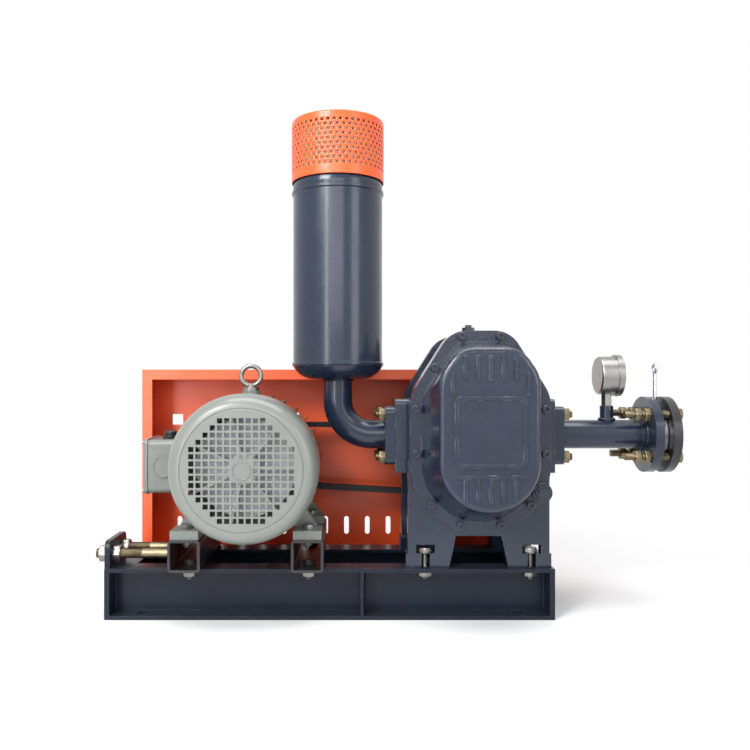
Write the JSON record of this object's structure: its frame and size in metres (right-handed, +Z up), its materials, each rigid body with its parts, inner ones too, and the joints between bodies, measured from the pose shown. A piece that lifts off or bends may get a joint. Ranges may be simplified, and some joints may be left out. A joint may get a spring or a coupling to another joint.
{
  "type": "belt-driven roots blower package",
  "caption": "Belt-driven roots blower package with electric motor, intake silencer, check valve and gauge on a steel base frame.",
  "frame": {"origin": "centre of the underside of the base frame, on the floor, midway between its four foundation holes", "axes": "+X along the base towards the outlet flange, +Y from the gear cover towards the belt guard, +Z up"},
  "size_m": [0.949, 0.375, 0.809],
  "materials": {
    "blue_paint": "glossy dark blue-grey enamel",
    "blue_cast": "cast iron under glossy dark blue-grey enamel",
    "black_paint": "black paint",
    "orange_paint": "bright orange enamel on sheet steel",
    "motor_paint": "light grey-green paint on cast iron",
    "cowl_paint": "light grey-green paint on pressed steel",
    "yellow_zinc": "yellow zinc plating",
    "zinc_steel": "bright zinc plating",
    "dark_bolt": "steel painted over with the cover",
    "core_steel": "turned steel and core laminations",
    "bearing_steel": "polished bearing steel",
    "gear_steel": "ground gear steel",
    "rotor_iron": "machined cast iron",
    "pulley_iron": "machined cast iron",
    "fan_plastic": "moulded black plastic",
    "belt_rubber": "fabric-covered rubber",
    "seal_rubber": "sealing rubber",
    "filter_felt": "pale pleated filter paper",
    "valve_steel": "machined stainless steel",
    "gauge_steel": "satin stainless steel",
    "dial_white": "white dial plate",
    "clear_glass": "clear flat glass",
    "needle_black": "black pointer"
  },
  "bodies": {
    "base": {"base_frame": "blue_paint", "tension_nuts": "yellow_zinc", "blower_casing": "blue_cast", "gear_end_plate": "blue_cast", "drive_end_plate": "blue_cast", "rotor_bearings": "bearing_steel", "gear_cover": "blue_cast", "gear_cover_bolts": "dark_bolt", "oil_sight_plug": "zinc_steel", "oil_filler_plug": "dark_bolt", "bearing_cap": "blue_cast", "seal_housing": "blue_cast", "shaft_seal": "seal_rubber", "blower_foot_bolts": "zinc_steel", "v_belts": "belt_rubber", "suction_elbow": "blue_paint", "suction_flange_studs": "yellow_zinc", "discharge_flange_studs": "yellow_zinc", "silencer_drum": "blue_paint", "filter_cap": "orange_paint", "filter_element": "filter_felt", "discharge_pipe": "blue_paint", "outlet_flange": "black_paint", "flange_gaskets": "seal_rubber", "check_valve_body": "valve_steel", "flap_pin": "bearing_steel", "flange_bolts": "yellow_zinc", "flange_nuts": "yellow_zinc", "gauge_case": "gauge_steel", "gauge_dial": "dial_white", "gauge_glass": "clear_glass", "belt_guard": "orange_paint", "guard_bolts": "zinc_steel"},
    "motor_carriage": {"left_motor_rail": "black_paint", "right_motor_rail": "black_paint", "rail_clamp_bolts": "zinc_steel", "tension_rods": "yellow_zinc", "motor_frame": "motor_paint", "stator": "core_steel", "fan_end_shield": "motor_paint", "drive_end_shield": "motor_paint", "motor_bearings": "bearing_steel", "fan_cowl": "cowl_paint", "terminal_box": "motor_paint", "terminal_box_lid": "motor_paint", "motor_eye_bolt": "zinc_steel", "motor_foot_bolts": "zinc_steel"},
    "motor_rotor": {"motor_shaft": "core_steel", "cooling_fan": "fan_plastic", "motor_pulley": "pulley_iron"},
    "drive_train": {"drive_rotor": "rotor_iron", "drive_timing_gear": "gear_steel", "drive_gear_nut": "zinc_steel", "blower_pulley": "pulley_iron"},
    "driven_train": {"driven_rotor": "rotor_iron", "driven_timing_gear": "gear_steel", "driven_gear_nut": "zinc_steel"},
    "flap": {"check_flap": "valve_steel"},
    "needle": {"gauge_needle": "needle_black"}
  },
  "joints": [
    {"name": "belt_tension_slide", "type": "slide", "parent": "base", "child": "motor_carriage", "axis": [1, 0, 0], "range_m": [-0.01, 0.02], "deforming": ["v_belts"]},
    {"name": "motor_spin", "type": "hinge", "parent": "motor_carriage", "child": "motor_rotor", "pos_m": [-0.129, 0, 0.242], "axis": [0, 1, 0], "continuous": true},
    {"name": "drive_rotor_spin", "type": "hinge", "parent": "base", "child": "drive_train", "pos_m": [0.236, 0, 0.22975], "axis": [0, 1, 0], "continuous": true},
    {"name": "driven_rotor_spin", "type": "hinge", "parent": "base", "child": "driven_train", "pos_m": [0.236, 0, 0.34225], "axis": [0, 1, 0], "continuous": true},
    {"name": "check_flap_swing", "type": "hinge", "parent": "base", "child": "flap", "pos_m": [0.5495, 0, 0.303], "axis": [0, -1, 0], "range_deg": [0, 60]},
    {"name": "gauge_needle_turn", "type": "hinge", "parent": "base", "child": "needle", "pos_m": [0.4785, 0, 0.385], "axis": [-1, 0, 0], "range_deg": [0, 270]}
  ],
  "couplings": [
    {"joint": "driven_rotor_spin", "follows": "drive_rotor_spin", "ratio": -1},
    {"joint": "motor_spin", "follows": "drive_rotor_spin", "ratio": 1.1786}
  ]
}
